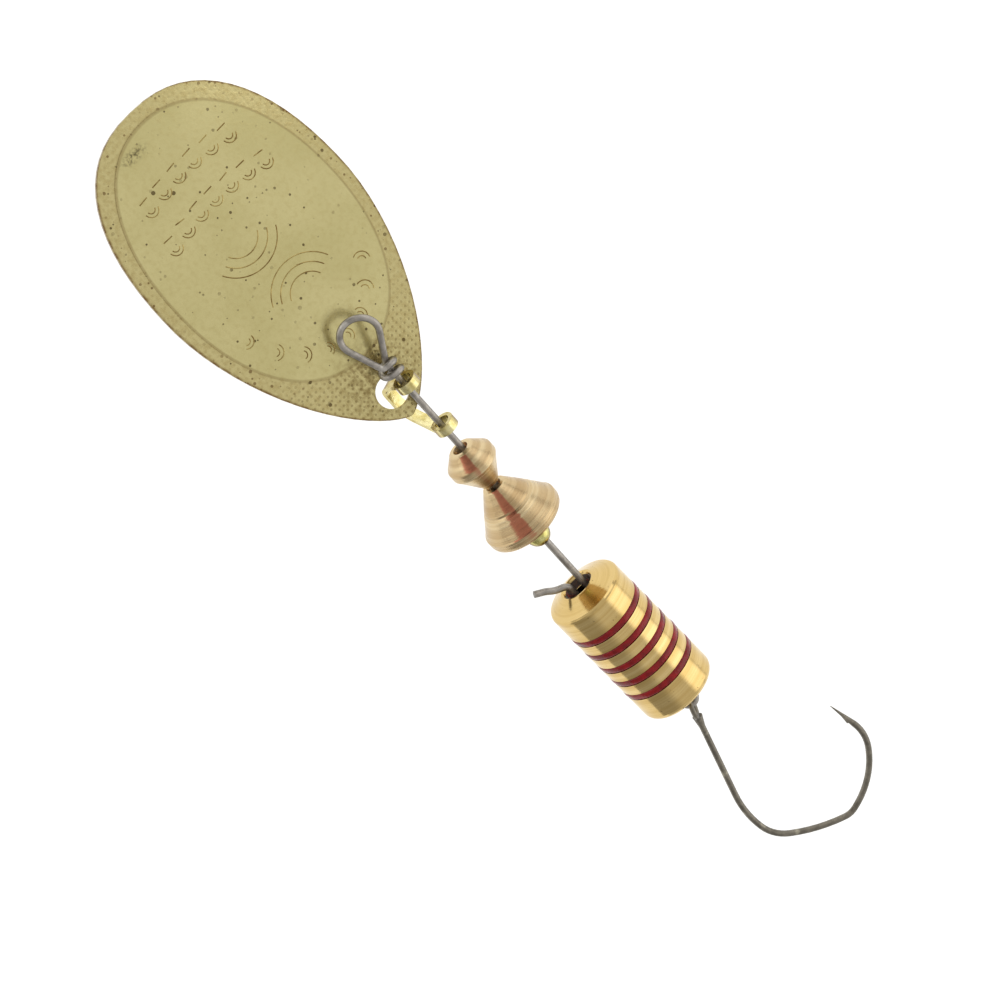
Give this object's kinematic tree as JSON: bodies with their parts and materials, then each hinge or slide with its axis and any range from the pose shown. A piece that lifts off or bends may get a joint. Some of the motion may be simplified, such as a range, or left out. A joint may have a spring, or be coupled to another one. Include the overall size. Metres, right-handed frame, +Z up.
{
  "type": "inline spinner lure",
  "caption": "Inline spinner lure: egg-shaped blade on a clevis, turned beads and a banded barrel on a steel wire, with one hook behind.",
  "frame": {"origin": "centre of the line eye, where the fishing line is tied", "axes": "+X along the shaft wire, from the line eye towards the hook; +Z up, away from the folded blade; +Y to the side the hook's point is on"},
  "size_m": [0.0761, 0.0177, 0.0145],
  "materials": {
    "steel_wire": "dull drawn steel wire",
    "hook_steel": "dull brownish grey, a little stained",
    "pale_brass": "polished pale brass",
    "blade_brass": "satin olive gold with fine pits",
    "pink_brass": "turned, with fine turning marks",
    "green_brass": "smooth yellow brass",
    "barrel_brass": "turned and polished yellow brass",
    "red_lacquer": "glossy dark red lacquer"
  },
  "bodies": {
    "shaft_body": {"wire_shaft": "steel_wire"},
    "clevis_body": {"clevis": "pale_brass"},
    "blade_body": {"blade": "blade_brass"},
    "front_bead_body": {"front_bead": "pink_brass"},
    "bell_body": {"bell": "pink_brass"},
    "ball_bead_body": {"ball_bead": "green_brass"},
    "barrel_body": {"barrel": "barrel_brass", "enamel_band_1": "red_lacquer", "enamel_band_2": "red_lacquer", "enamel_band_3": "red_lacquer", "enamel_band_4": "red_lacquer", "enamel_band_5": "red_lacquer", "mouth_lacquer": "red_lacquer"},
    "hook_body": {"hook": "hook_steel"}
  },
  "joints": [
    {"name": "clevis_spin", "type": "hinge", "parent": "shaft_body", "child": "clevis_body", "pos_m": [0, 0, 0], "axis": [1, 0, 0], "continuous": true},
    {"name": "blade_swing", "type": "hinge", "parent": "clevis_body", "child": "blade_body", "pos_m": [0.00705, -0.00104, -0.00122], "axis": [0, -0.9397, 0.342], "range_deg": [0, 115]},
    {"name": "bead_slide", "type": "slide", "parent": "shaft_body", "child": "front_bead_body", "axis": [1, 0, 0], "range_m": [-0.0014, 0.0025]},
    {"name": "bell_spin", "type": "hinge", "parent": "front_bead_body", "child": "bell_body", "pos_m": [0.0163, -0.00013, 0], "axis": [1, 0, 0], "continuous": true},
    {"name": "ball_spin", "type": "hinge", "parent": "bell_body", "child": "ball_bead_body", "pos_m": [0.02165, -0.00013, 0], "axis": [1, 0, 0], "continuous": true},
    {"name": "barrel_spin", "type": "hinge", "parent": "shaft_body", "child": "barrel_body", "pos_m": [0.0269, -0.0005, 0], "axis": [0.9993, 0.0375, 0], "continuous": true},
    {"name": "hook_swing", "type": "hinge", "parent": "shaft_body", "child": "hook_body", "pos_m": [0.04047, -0.00013, 0], "axis": [0.2386, 0.9261, 0.2924], "range_deg": [-50, 50]}
  ]
}
